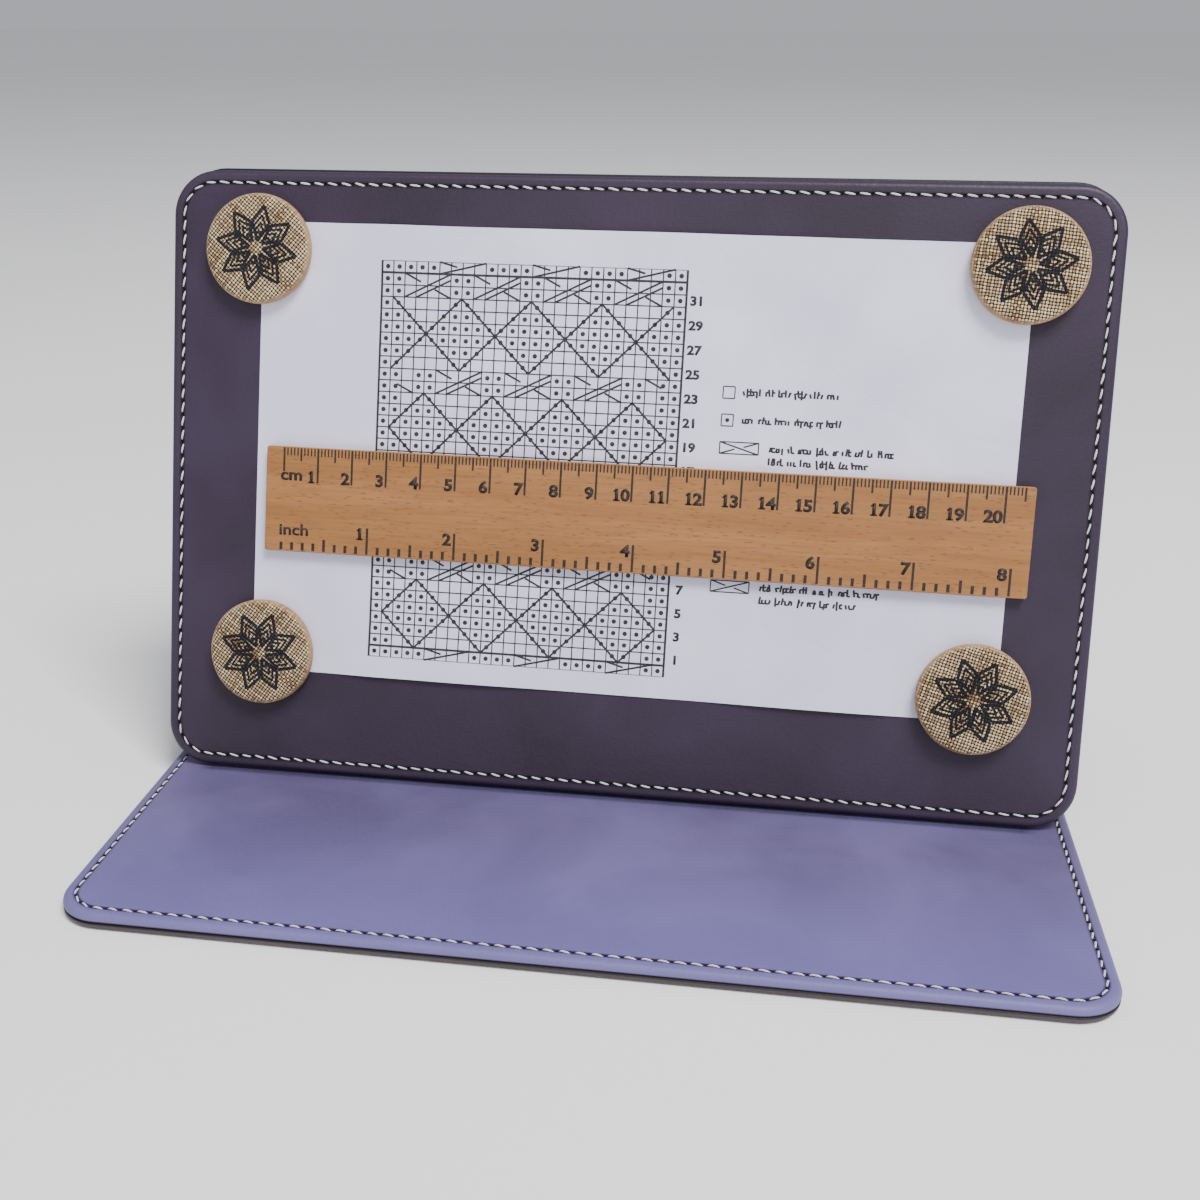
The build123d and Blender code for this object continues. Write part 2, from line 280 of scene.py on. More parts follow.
def faux_leather(name, tones, face, height, rim=None, gloss=0.46, front=None, size=None):
    """Embossed faux leather on a leaf, from its face and its height. size is for strips with no turned edge."""
    leather, add = new_material(name)
    shade, light, rubbed = (colour(tone) for tone in tones)
    middle = (face @ moved(0.0, height / 2, -LEAF_THICKNESS / 2)).translation
    place = add("TexCoord", output="Object")
    leaf = add("Mapping", (place, middle, face.to_euler()), vector_type="TEXTURE")
    across, along, through = add("SeparateXYZ", (leaf,)).node.outputs

    def line(value, centre, core, end, share):
        """A soft line: its full share up to core mm on both sides of its centre, and nothing from end mm."""
        away = add("Math", (value, centre * MM), operation="SUBTRACT")
        away = add("Math", (away,), operation="ABSOLUTE")
        return add("MapRange", (away, core * MM, end * MM, share, 0.0))

    # Slow changes of tone
    cloud = add("TexNoise", {"Vector": leaf, "Scale": per_mm(55), "Detail": 3.0, "Roughness": 0.55, "Distortion": 0.4})
    layers = [(add("MapRange", (cloud, 0.36, 0.64)), light)]
    if front:
        # The part towards the reader is painted lighter and bluer, as painted light where more light
        # falls than by the display leaf
        layers.append((add("MapRange", (along, -85 * MM, -30 * MM, 0.6, 0.0)), colour(front)))
        # A dark line painted along the display leaf's foot as its painted shadow, stopped short of the leaf's ends
        inside = line(across, 0.0, FOOT_SHADOW_HALF_LENGTH - 4.0, FOOT_SHADOW_HALF_LENGTH, 1.0)
        foot = add("Math", (line(along, FOOT_SHADOW_LINE, 0.8, 2.2, 0.6), inside), operation="MULTIPLY")
        layers.append((foot, colour("#211B2B")))
    # Pebble grain of the embossing roller, about 1 mm, with the finer pores of the film
    pebbles = add("TexVoronoi", {"Vector": leaf, "Scale": per_mm(1.15), "Smoothness": 0.6}, feature="SMOOTH_F1")
    pores = add("TexNoise", {"Vector": leaf, "Scale": per_mm(0.7), "Detail": 4.0, "Roughness": 0.65})
    relief = add("Math", (pebbles, 0.6, pores), operation="MULTIPLY_ADD")
    layers.append((add("MapRange", (relief, 0.55, 1.15, 0.0, 0.18)), light))
    # The distance from a rectangle inside the leaf, which is the corner radius all along the rim
    inner = [(side / 2 - CORNER_RADIUS) * MM for side in size or (LEAF_WIDTH, height)] + [1.0]
    beyond = add("VectorMath", (leaf,), operation="ABSOLUTE")
    beyond = add("VectorMath", (beyond, inner), operation="SUBTRACT")
    beyond = add("VectorMath", (beyond, (0.0, 0.0, 0.0)), operation="MAXIMUM")
    edge = add("VectorMath", (beyond,), "Value", operation="LENGTH")
    # Wear along the turned edge, broken up by the pores
    wear = add("MapRange", (edge, RIM - 3.4 * MM, RIM - 0.4 * MM, 0.0, 0.28))
    broken = add("MapRange", (pores, 0.35, 0.7, 0.35, 1.0))
    layers.append((add("Math", (wear, broken), operation="MULTIPLY"), rubbed))
    if rim:
        layers.append((add("MapRange", (edge, RIM - 1.0 * MM, RIM - 0.6 * MM)), colour(rim)))
    # Shade in the stitches' groove, and in the seam of a leaf's two skins, 0.2 mm behind its middle
    groove = line(edge, CORNER_RADIUS - SEAM_INSET, 0.45, 1.0, 0.7)
    outside = add("MapRange", (edge, RIM - 1.3 * MM, RIM - 0.7 * MM))
    seam = add("Math", (line(through, -0.2, 0.3, 0.7, 0.97), outside), operation="MULTIPLY")
    layers.append((add("Math", (groove, seam), operation="MAXIMUM"), colour("#0B090C")))
    tone = shade
    for share, over in layers:
        tone = add("Mix", {0: share, 6: tone, 7: over}, 2, data_type="RGBA")
    return finished(leather, add, relief, 0.6, 0.1, {
        "Base Color": tone,
        "Roughness": add("MapRange", (pores, 0.3, 0.7, gloss - 0.06, gloss + 0.08)),
        "Specular IOR Level": 0.32,
    })

# %% Leather on the leaves
PLUM = ("#2D2332", "#392E41", "#473C50")
LAVENDER = ("#564D71", "#6A608C", "#847CA3")
# The lighter, bluer lavender painted on the base leaf's near part as painted light
PAINTED_LIGHT_LAVENDER = "#7269AC"
TAUPE = ("#3B3236", "#4B4045", "#61565A")
PAINTED_RIM = "#31283A"

for body, (face, height, outside, inside) in leaves.items():
    if body == "base":
        top = faux_leather("lavender_faux_leather_base", LAVENDER, face, height, gloss=0.5, front=PAINTED_LIGHT_LAVENDER)
        under = faux_leather("taupe_faux_leather_base", TAUPE, face, height, gloss=0.55)
    else:
        top = faux_leather("plum_faux_leather_" + body, PLUM, face, height, PAINTED_RIM)
        under = faux_leather("lavender_faux_leather_" + body, LAVENDER, face, height, PAINTED_RIM)
    dress(top, f"{body}_{outside}_skin")
    dress(under, f"{body}_{inside}_skin")
print("leather on six skins")

# %% [markdown]
# ## Board, steel and magnets
#
# Inside the leaves are grey board, made of pressed waste paper with flecks in it, and one sheet of
# cold rolled steel, which the magnets on the display leaf hold on to. The magnets are nickel plated.
# The buttons' caps and back plates are pressed from tinned steel, which has a fine, cloudy grain.
# Most of this can only be seen with a button pulled off, but each part still gets its finish.

# %% Hidden materials
def plated_metal(name, dark, light, roughness, grain):
    """Rolled or plated metal with a cloudy grain of that size in mm."""
    metal, add = new_material(name)
    place = add("TexCoord", output="Object")
    clouds = add("TexNoise", {"Vector": place, "Scale": per_mm(grain), "Detail": 4.0, "Roughness": 0.6})
    return finished(metal, add, clouds, 0.15, 0.03, {
        "Base Color": add("Mix", {0: clouds, 6: colour(dark), 7: colour(light)}, 2, data_type="RGBA"),
        "Metallic": 1.0,
        "Roughness": add("MapRange", (clouds, 0.3, 0.7, roughness - 0.07, roughness + 0.1)),
    })

# Pressed board of waste paper: dull grey with pale and dark fibres a few mm long
grey_board = two_tone(
    "grey_board", "#6F6C68", "#A19D96", 1.6, 0.9, limits=(0.35, 0.65), relief=(0.4, 0.1), Detail=6.0, Distortion=1.5
)
nickel_plate = plated_metal("nickel_plate", "#A9A59C", "#C9C6BE", 0.22, 1.2)
tinned_steel = plated_metal("tinned_steel", "#9A9C9E", "#C3C5C6", 0.32, 3.0)
dress(grey_board, "base_board", "display_board", "strut_board")
dress(plated_metal("cold_rolled_steel", "#82858A", "#A6A9AE", 0.38, 2.5), "display_steel_sheet")
dress(nickel_plate, "foot_magnet_left", "foot_magnet_right", "ruler_magnet_left", "ruler_magnet_right")
for button in ("top_left", "top_right", "bottom_left", "bottom_right"):
    dress(tinned_steel, button + "_button_cap", button + "_button_back_plate")
    dress(nickel_plate, button + "_button_magnet")
print("inner parts dressed")

# %% [markdown]
# ## The stitching
#
# A line of thick off-white thread runs round each leaf, 3.4 mm in from the edge. The CAD model has it
# as a flat ring in a groove. The real line is some two hundred separate stitches, each pulled down
# into its needle holes at both ends, so that it lies as a small arch and slants a little. One
# stitch is modelled from a sphere, drawn out and bent down at its ends. Copies of it are set along
# the seam, and the whole line is then copied to the other faces.

# %% Thread
def sewing_thread():
    """Twisted polyester thread, about 0.6 mm: two plies show as slanting lines along the stitch."""
    yarn, add = new_material("twisted_polyester_thread")
    around = add("TexCoord", output="UV")
    across, along, _ = add("SeparateXYZ", (around,)).node.outputs
    turns = add("Math", (along, 5.0), operation="MULTIPLY")
    twist = add("Math", (across, 2.0, turns), operation="MULTIPLY_ADD")
    ply = add("Math", (twist, 2 * math.pi), operation="MULTIPLY")
    ply = add("Math", (ply,), operation="SINE")
    fibre = add("TexNoise", {"Vector": around.node.outputs["Object"], "Scale": per_mm(0.5), "Detail": 3.0})
    height = add("Math", (ply, fibre), operation="ADD")
    # Darker in the grooves between the plies: painted shade
    share = add("MapRange", (height, -0.6, 1.2))
    tone = add("Mix", {0: share, 6: colour("#B1ABB0"), 7: colour("#F2EFF0")}, 2, data_type="RGBA")
    return finished(yarn, add, height, 0.5, 0.04, {"Base Color": tone, "Roughness": 0.62, "Sheen Weight": 0.15})

thread = sewing_thread()
# A needle hole is dark with shade: its disc is coloured near black, as painted shade
needle_hole_shade = two_tone("needle_hole_painted_shade", "#0F0C12", "#2B2433", 0.3, 0.95, 0.1)

# %% One stitch and one needle hole
STITCH_LENGTH = 3.05
STITCH_WIDTH = 0.58
STITCH_HEIGHT = 0.5
HOLE_RADIUS = 0.42

def make_stitch():
    """One stitch along X: a drawn out sphere whose ends dip into the leather."""
    stitch = new_piece(
        bpy.ops.mesh.primitive_uv_sphere_add,
        segments=8, ring_count=8, radius=0.5 * MM, rotation=(0.0, math.pi / 2, 0.0),
    )
    bpy.ops.object.transform_apply(location=False, rotation=True, scale=False)
    bpy.ops.object.mode_set(mode="EDIT")
    bpy.ops.transform.resize(value=(STITCH_LENGTH, STITCH_WIDTH, STITCH_HEIGHT))
    pick(stitch, lambda at: abs(at.x) > 0.6)
    bpy.ops.transform.resize(value=(1.0, 1.12, 1.0))
    for start, dip in ((0.9, 0.09), (1.2, 0.12)):
        pick(stitch, lambda at: abs(at.x) > start)
        bpy.ops.transform.translate(value=(0.0, 0.0, -dip * MM))
    bpy.ops.object.mode_set(mode="OBJECT")
    bpy.ops.object.shade_smooth()
    return stitch

def make_needle_hole():
    """A small hole seen from above: a thin disc with a raised, puckered rim."""
    hole = new_piece(bpy.ops.mesh.primitive_circle_add, vertices=8, radius=HOLE_RADIUS * MM, fill_type="NGON")
    bpy.ops.object.mode_set(mode="EDIT")
    bpy.ops.mesh.inset(thickness=0.12 * MM, depth=-0.02 * MM)
    bpy.ops.mesh.poke()
    bpy.ops.object.mode_set(mode="OBJECT")
    apply_modifier(hole, "SOLIDIFY", thickness=0.03 * MM, offset=-1.0)
    return hole

# %% The seam's path
STITCH_PITCH = 3.95
STITCH_SLANT = math.radians(-11.0)
GROOVE_DEPTH = 0.2

def seam_places(height, offset=0.0):
    """Even places along the seam of a leaf of that height, from the left end of its bottom edge."""
    radius = CORNER_RADIUS - SEAM_INSET
    sides = [side - 2 * CORNER_RADIUS for side in (LEAF_WIDTH, height) * 2]
    quarter = radius * math.pi / 2
    total = sum(sides) + 4 * quarter
    count = round(total / STITCH_PITCH)
    places = []
    for index in range(count):
        rest = (index + offset) * total / count
        place = moved(-sides[0] / 2, SEAM_INSET)
        for side in sides:
            # Along one side and round the corner after it, or as far as the rest of the way goes
            place = place @ moved(min(rest, side), 0.0)
            rest -= side
            if rest < 0.0:
                break
            corner = Matrix.Rotation(min(rest, quarter) / radius, 4, "Z")
            place = place @ moved(0.0, radius) @ corner @ moved(0.0, -radius)
            rest -= quarter
            if rest < 0.0:
                break
        places.append(place)
    return places

def make_seam(height, seed):
    """All stitches round one face, lying flat, each a little different as by hand."""
    hand = random.Random(seed)
    places = []
    for place in seam_places(height):
        slant = Matrix.Rotation(STITCH_SLANT + hand.uniform(-0.07, 0.07), 4, "Z")
        size = Matrix.Diagonal((hand.uniform(0.92, 1.04), hand.uniform(0.92, 1.05), 1.0, 1.0))
        places.append(place @ moved(0.0, 0.0, 0.02) @ slant @ size)
    return copies_at(make_stitch(), places)

def make_needle_holes(height):
    """The holes between the stitches round one face, on the floor of the groove."""
    places = [place @ moved(0.0, 0.0, -GROOVE_DEPTH) for place in seam_places(height, 0.5)]
    return copies_at(make_needle_hole(), places)

seams = {}
for height, seed in ((LEAF_HEIGHT, 11), (BASE_DEPTH, 12)):
    seams[height] = (make_seam(height, seed), make_needle_holes(height))
    print("stitches round a leaf", height, "mm high:", len(seam_places(height)))

# %% Stitching on all six faces
for body, (face, height, *sides) in leaves.items():
    seam, holes = seams[height]
    for side, side_face in zip(sides, (face, back_of(face))):
        # The underside's stitches lie deeper, so that they don't touch the table
        stitches = set_at(seam, side_face @ moved(0.0, 0.0, -0.2 if side == "bottom" else 0.0))
        finish_piece(stitches, f"{body}_{side}_stitches", thread, body, [body + "_thread"])
        # The needle holes are dark discs of painted shade
        finish_piece(set_at(holes, side_face), f"{body}_{side}_needle_holes", needle_hole_shade, body)
for pair in seams.values():
    for model in pair:
        bpy.data.objects.remove(model)

# %% [markdown]
# ## The folds
#
# Two strips of the same faux leather let the leaves fold. One is glued inside the top fold and joins
# the display leaf to the strut leaf. The other is the spine behind: it leaves the base leaf's rear
# seam, turns up and is glued to the strut leaf. Each is modelled as its middle surface: a plane for
# the first run, an arc made with the spin operator, and a second run, which then gets the leather's
# thickness.

# %% A strip with one bend
HINGE_LENGTH = 226.0

def make_strip(bend_start, first_run, centre, angle, last_run, thickness):
    """A leather strip bent about a line along X. Runs and places are (y, z) in mm, the angle in degrees."""
    bend_start, first_run, centre, last_run = map(Vector, (bend_start, first_run, centre, last_run))
    strip = new_piece(
        bpy.ops.mesh.primitive_plane_add,
        size=1.0,
        location=(0.0, *(bend_start - first_run / 2) * MM),
        rotation=(math.atan2(first_run.y, first_run.x), 0.0, 0.0),
    )
    strip.scale = (HINGE_LENGTH * MM, first_run.length * MM, 1.0)
    bpy.ops.object.transform_apply(location=True, rotation=True, scale=True)
    pick(strip, lambda at: (at.yz - bend_start).length < 0.01)
    turn = math.radians(angle)
    bpy.ops.mesh.spin(steps=14, angle=turn, center=(0.0, *centre * MM), axis=(1.0, 0.0, 0.0))
    bpy.ops.object.mode_set(mode="OBJECT")
    bend_end = centre + Matrix.Rotation(turn, 2) @ (bend_start - centre)
    pick(strip, lambda at: (at.yz - bend_end).length < 0.01)
    bpy.ops.mesh.extrude_region_move(TRANSFORM_OT_translate={"value": (0.0, *last_run * MM)})
    bpy.ops.mesh.select_all(action="SELECT")
    bpy.ops.mesh.remove_doubles(threshold=0.001 * MM)
    bpy.ops.mesh.normals_make_consistent(inside=False)
    bpy.ops.object.mode_set(mode="OBJECT")
    apply_modifier(strip, "SOLIDIFY", thickness=thickness * MM, offset=0.0)
    apply_modifier(strip, "BEVEL", width=0.15 * MM, segments=2, limit_method="ANGLE")
    bpy.ops.object.shade_smooth_by_angle(angle=math.radians(35))
    print("strip bends from", [round(x, 2) for x in bend_start], "to", [round(x, 2) for x in bend_end])
    return strip

# %% The spine behind and the strip in the top fold
NO_RIM = (400.0, 400.0)  # these strips show no turned edge
spine = make_strip(
    bend_start=(87.908, 2.45), first_run=(4.558, 0.0),
    centre=(87.908, 4.284), angle=105.0, last_run=(-4.124, 15.393), thickness=0.88,
)
spine_leather = faux_leather("plum_faux_leather_spine", PLUM, strut_outside, LEAF_HEIGHT, size=NO_RIM)
finish_piece(spine, "spine_leather", spine_leather, None, ["spine_strip"])
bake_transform(spine)

FOLD_AXIS = (39.625, 169.348)
FOLD_RADIUS = 0.5
FOLD_LEG = 17.8
lean_y, lean_z = math.sin(math.radians(LEAN)), math.cos(math.radians(LEAN))
top_fold = make_strip(
    bend_start=(FOLD_AXIS[0] - lean_z * FOLD_RADIUS, FOLD_AXIS[1] + lean_y * FOLD_RADIUS),
    first_run=(lean_y * FOLD_LEG, lean_z * FOLD_LEG),
    centre=FOLD_AXIS, angle=-150.0, last_run=(lean_y * FOLD_LEG, -lean_z * FOLD_LEG), thickness=0.76,
)
fold_leather = faux_leather("lavender_faux_leather_fold", LAVENDER, strut_outside, LEAF_HEIGHT, size=NO_RIM)
finish_piece(top_fold, "top_fold_leather", fold_leather, None, ["top_hinge_strip"])
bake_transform(top_fold)

# %% [markdown]
# ## The paper pattern
#
# The pattern is one sheet of office paper, a tenth of a millimetre thick. It isn't quite flat: it has
# slow waves from damp air, and its free edges lift a little between the buttons. A flat grid with
# its points raised by a smooth function does this in a controlled way. The waves stay under a
# quarter of a millimetre where the ruler slides, so that it never cuts through them. All print lies
# on the sheet and is raised by the same function.

# %% The sheet's waves
SHEET_WIDTH = 211.5
SHEET_HEIGHT = 128.0
PAPER_THICKNESS = 0.1
sheet_place = display_front @ moved(1.6, 93.3) @ turned(-0.45)

def eased(value, low, high):
    """A smooth step from 0 at low to 1 at high."""
    share = min(1.0, max(0.0, (value - low) / (high - low)))
    return share * share * (3 - 2 * share)

def paper_lift(x, y):
    """Height in mm of the sheet's middle layer over the leaf, at a place in mm from the sheet's middle."""
    waves = 0.035 * math.sin(x / 7.3 + y / 21.0 + 0.6) + 0.02 * math.sin(x / 4.6 - y / 6.1 + 2.1)
    free = 1.0 - eased(abs(x), 66.0, 84.0)
    top_edge = eased(y, 41.5, 66.0) * (0.75 + 0.55 * math.sin(x / 17.0 + 1.1) + 0.2 * math.sin(x / 6.0))
    bottom_edge = eased(-y, 43.0, 66.0) * (0.6 + 0.5 * math.sin(x / 21.0 + 4.4) + 0.2 * math.sin(x / 7.0 + 1.0))
    return 0.14 + waves + free * (top_edge + bottom_edge)

def raise_by_paper(piece, over):
    """Raise a flat piece of print so that it lies on the waves, over mm above the sheet's middle."""
    for vertex in piece.data.vertices:
        vertex.co.z += (paper_lift(vertex.co.x / MM, vertex.co.y / MM) + over) * MM

# %% Paper
def office_paper():
    """Uncoated office paper: matt, slightly blue white, with faint creases and clouds of fibre."""
    paper, add = new_material("uncoated_office_paper")
    place = add("TexCoord", output="Object")
    clouds = add("TexNoise", {"Vector": place, "Scale": per_mm(38), "Detail": 4.0})
    share = add("MapRange", (clouds, 0.35, 0.65))
    fibres = add("TexNoise", {"Vector": place, "Scale": per_mm(0.8), "Detail": 5.0, "Roughness": 0.7})
    # Soft creases: the borders of large cells, pushed about so that none is straight
    push = add("TexNoise", {"Vector": place, "Scale": per_mm(20)}, "Color")
    pushed = add("Mix", {0: 0.06, 6: place, 7: push}, 2, data_type="RGBA")
    creases = add("TexVoronoi", {"Vector": pushed, "Scale": per_mm(30)}, feature="DISTANCE_TO_EDGE")
    creases = add("MapRange", (creases, 0.0, 0.14))
    height = add("Math", (fibres, 0.1, creases), operation="MULTIPLY_ADD")
    return finished(paper, add, height, 0.4, 0.15, {
        "Base Color": add("Mix", {0: share, 6: colour("#DAD9EF"), 7: colour("#E9E8FB")}, 2, data_type="RGBA"),
        "Roughness": 0.78,
        "Specular IOR Level": 0.3,
    })

def make_sheet():
    """The sheet as a fine grid with its waves and its thickness."""
    sheet = new_piece(bpy.ops.mesh.primitive_grid_add, x_subdivisions=106, y_subdivisions=64, size=1.0)
    bpy.ops.object.mode_set(mode="EDIT")
    bpy.ops.transform.resize(value=(SHEET_WIDTH * MM, SHEET_HEIGHT * MM, 1.0))
    bpy.ops.object.mode_set(mode="OBJECT")
    raise_by_paper(sheet, 0.0)
    apply_modifier(sheet, "SOLIDIFY", thickness=PAPER_THICKNESS * MM, offset=0.0)
    bpy.ops.object.shade_smooth_by_angle(angle=math.radians(35))
    sheet.data.transform(sheet_place)
    return sheet

finish_piece(make_sheet(), "paper_pattern", office_paper(), "display", ["pattern_sheet"])

# %% [markdown]
# ## The printed chart
#
# A knitting chart is a grid of squares, one for each stitch. A dot is a purl stitch and slanting
# lines show stitches that cross. This chart is a made-up one of plain diamonds and cable crossings.
# The grid's lines come from a grid of faces: each face is inset a little, and what is left inside
# is deleted. The dot and the slanting stroke are each modelled once and copied. The print is toner,
# a black powder melted on to the paper, and lies on it as a very thin layer.

# %% Toner on the sheet
# Dark grey rather than black at this size, a little broken where the paper is rough
toner = two_tone("printed_toner", "#131218", "#403F48", 0.6, 0.55)
PRINT_LEVEL = PAPER_THICKNESS / 2 + 0.035
PRINT_THICKNESS = 0.02

def print_on_sheet(piece, name):
    """Raise flat print on to the waves, give it the toner's thickness, and set it on the sheet."""
    raise_by_paper(piece, PRINT_LEVEL)
    apply_modifier(piece, "SOLIDIFY", thickness=PRINT_THICKNESS * MM, offset=-1.0)
    piece.data.transform(sheet_place)
    finish_piece(piece, name, toner, "display")

# %% Strokes, dots and numbers
def strokes_at(places):
    """Straight strokes, copied from one of length 1 and width 1, in four lengths so that it can follow waves."""
    stroke = new_piece(bpy.ops.mesh.primitive_grid_add, x_subdivisions=4, y_subdivisions=1, size=1.0)
    return copies_at(stroke, places)

def stroke_place(x0, y0, x1, y1, width):
    """Where a stroke goes to run between two places in mm, with a width in mm."""
    length = math.hypot(x1 - x0, y1 - y0)
    turn = Matrix.Rotation(math.atan2(y1 - y0, x1 - x0), 4, "Z")
    return moved((x0 + x1) / 2, (y0 + y1) / 2) @ turn @ Matrix.Diagonal((length * MM, width * MM, 1.0, 1.0))

def dots_at(radius, places):
    """Round flat dots."""
    dot = new_piece(bpy.ops.mesh.primitive_circle_add, vertices=10, radius=radius * MM, fill_type="TRIFAN")
    return copies_at(dot, places)

def flat_text(words, size, x, y, weight, wide):
    """A number or word as a flat mesh, its middle at a place in mm. weight makes its strokes heavier."""
    text = new_piece(bpy.ops.object.text_add).data
    text.body = words
    text.size = size
    text.align_x = "CENTER"
    text.align_y = "CENTER"
    text.offset = weight
    text.resolution_u = 3
    bpy.ops.object.convert(target="MESH")
    made = bpy.context.object
    made.data.transform(moved(x, y) @ Matrix.Diagonal((wide * MM, MM, MM, 1.0)))
    return made

# %% The chart's grid
COLUMNS = 26
ROWS = 34
CELL_WIDTH = 3.285
CELL_HEIGHT = 3.3
CHART_LEFT = -70.6
CHART_BOTTOM = -57.9
GRID_LINE = 0.35

def chart_place(column, row):
    """A place in mm, counted in cells from the chart's lower left corner."""
    return CHART_LEFT + column * CELL_WIDTH, CHART_BOTTOM + row * CELL_HEIGHT

def make_chart_grid():
    """The chart's thin lines: a grid of faces, each inset and emptied."""
    x, y = chart_place(COLUMNS / 2, ROWS / 2)
    grid = new_piece(bpy.ops.mesh.primitive_grid_add, x_subdivisions=COLUMNS, y_subdivisions=ROWS, size=1.0)
    bpy.ops.object.mode_set(mode="EDIT")
    bpy.ops.transform.resize(value=(COLUMNS * CELL_WIDTH * MM, ROWS * CELL_HEIGHT * MM, 1.0))
    bpy.ops.transform.translate(value=(x * MM, y * MM, 0.0))
    bpy.ops.mesh.select_mode(type="FACE")
    bpy.ops.mesh.select_all(action="SELECT")
    bpy.ops.mesh.inset(thickness=GRID_LINE / 2 * MM, use_individual=True)
    bpy.ops.mesh.delete(type="FACE")
    bpy.ops.object.mode_set(mode="OBJECT")
    return grid

print_on_sheet(make_chart_grid(), "chart_grid")

# %% The chart's signs
DIAMOND = 6
HALF_DIAMOND = 3
BAND = 2
REPEAT = DIAMOND + BAND

def diamond_shift(row):
    """Every other row of diamonds is moved sideways by half a diamond."""
    return HALF_DIAMOND if (row - 1) // REPEAT % 2 else 0

def is_purl(column, row):
    """Whether a cell has a dot: inside the diamonds, on the borders and between cable crossings."""
    if column in (0, 1, COLUMNS - 2, COLUMNS - 1):
        return True
    if row in (0, ROWS - 1):
        return column % REPEAT in (1, 2, 3, 4)
    within = (row - 1) % REPEAT
    across = (column - 1 - diamond_shift(row)) % DIAMOND
    if within < DIAMOND:
        return abs(across - 2.5) + abs(within - 2.5) < 3.1
    return across in (2, 3)

dot_cells = [(column, row) for column in range(COLUMNS) for row in range(ROWS) if is_purl(column, row)]
dot_places = [moved(*chart_place(column + 0.5, row + 0.5)) for column, row in dot_cells]
print_on_sheet(dots_at(0.67, dot_places), "chart_dots")
print("purl stitches in the chart:", len(dot_cells))

# %% The chart's slanting lines, frame and border
SIGN_LINE = 0.56
FRAME_LINE = 0.64
# A cable crossing over a gap between diamonds, four stitches wide, in cells from the gap's middle
CROSSING = ((-2, 0, 2, 2), (-2, 2, -0.6, 1.3), (0.6, 0.7, 2, 0), (-1, 0, 2, 1.5))

def chart_lines():
    """Every slanting line of the chart, as pairs of cell corners."""
    lines = []
    for low in range(1, ROWS - 1, REPEAT):
        for left in range(1 - DIAMOND + diamond_shift(low), COLUMNS, DIAMOND):
            middle, top = left + HALF_DIAMOND, low + DIAMOND
            for step in range(HALF_DIAMOND):
                # The stitches that travel round a diamond, one cell at a time
                for side in (-1, 1):
                    near, far = middle + side * step, middle + side * (step + 1)
                    lines.append((near, low + step, far, low + step + 1))
                    lines.append((near, top - step, far, top - step - 1))
            lines += [(left + x0, top + y0, left + x1, top + y1) for x0, y0, x1, y1 in CROSSING]
    inside = [line for line in lines if min(line[0], line[2]) >= 1 and max(line[0], line[2]) <= COLUMNS - 1]
    for left in range(5, COLUMNS - 4, REPEAT):
        for row in (0, ROWS - 1):
            inside.append((left, row, left + 4, row + 1))
            inside.append((left, row + 1, left + 1.5, row + 0.6))
    return inside

frame_lines = [(column, row, column, row + 1) for row in range(ROWS) for column in (0, COLUMNS)]
frame_lines += [(column, row, column + 1, row) for column in range(COLUMNS) for row in (1, ROWS - 1)]
line_places = []
for lines, width in ((chart_lines(), SIGN_LINE), (frame_lines, FRAME_LINE)):
    for column0, row0, column1, row1 in lines:
        line_places.append(stroke_place(*chart_place(column0, row0), *chart_place(column1, row1), width))
print_on_sheet(strokes_at(line_places), "chart_lines")

# %% Row numbers
NUMBER_SIZE = 3.4
row_numbers = []
for number in range(1, ROWS - 1, 2):
    x, y = chart_place(COLUMNS + 0.9, number + 0.5)
    row_numbers.append(flat_text(str(number), NUMBER_SIZE, x, y, 0.15, 1.15))
print_on_sheet(joined(row_numbers), "chart_row_numbers")

# %% [markdown]
# ## The chart's key
#
# Beside the chart a key repeats the signs and says what they mean. Its words aren't written here. As
# in a layout made before its text is known, each word is a row of small strokes with the height and
# rhythm of letters, which reads as fine print from where the camera stands.

# %% Signs and greeked lines of the key
SIGN_HALF_HEIGHT = 1.6
key_random = random.Random(5)
key_strokes = []

def key_box(x, y, width):
    """The outline of one sign's box, from its middle in mm."""
    left, right, low, high = x - width / 2, x + width / 2, y - SIGN_HALF_HEIGHT, y + SIGN_HALF_HEIGHT
    corners = ((left, low), (right, low), (right, high), (left, high), (left, low))
    for start, end in zip(corners, corners[1:]):
        key_strokes.append(stroke_place(*start, *end, 0.34))

def greeked_line(x, y, length):
    """Words of small strokes, from the left end of a line in mm. Some have a tail, a rise or a bar."""
    end = x + length
    while x < end:
        for _ in range(key_random.choice((2, 3, 4, 5, 6))):
            low = y - 0.72 - (0.55 if key_random.random() < 0.12 else 0.0)
            high = y + 0.5 + (0.75 if key_random.random() < 0.35 else 0.0)
            lean = key_random.choice((-0.32, 0.0, 0.0, 0.32))
            key_strokes.append(stroke_place(x, low, x + lean, high, 0.58))
            for bar, chance in ((y + 0.42, 0.5), (y - 0.6, 0.35)):
                if key_random.random() < chance:
                    key_strokes.append(stroke_place(x, bar, x + 0.75, bar, 0.5))
            x += key_random.uniform(0.72, 1.0)
        x += 0.95

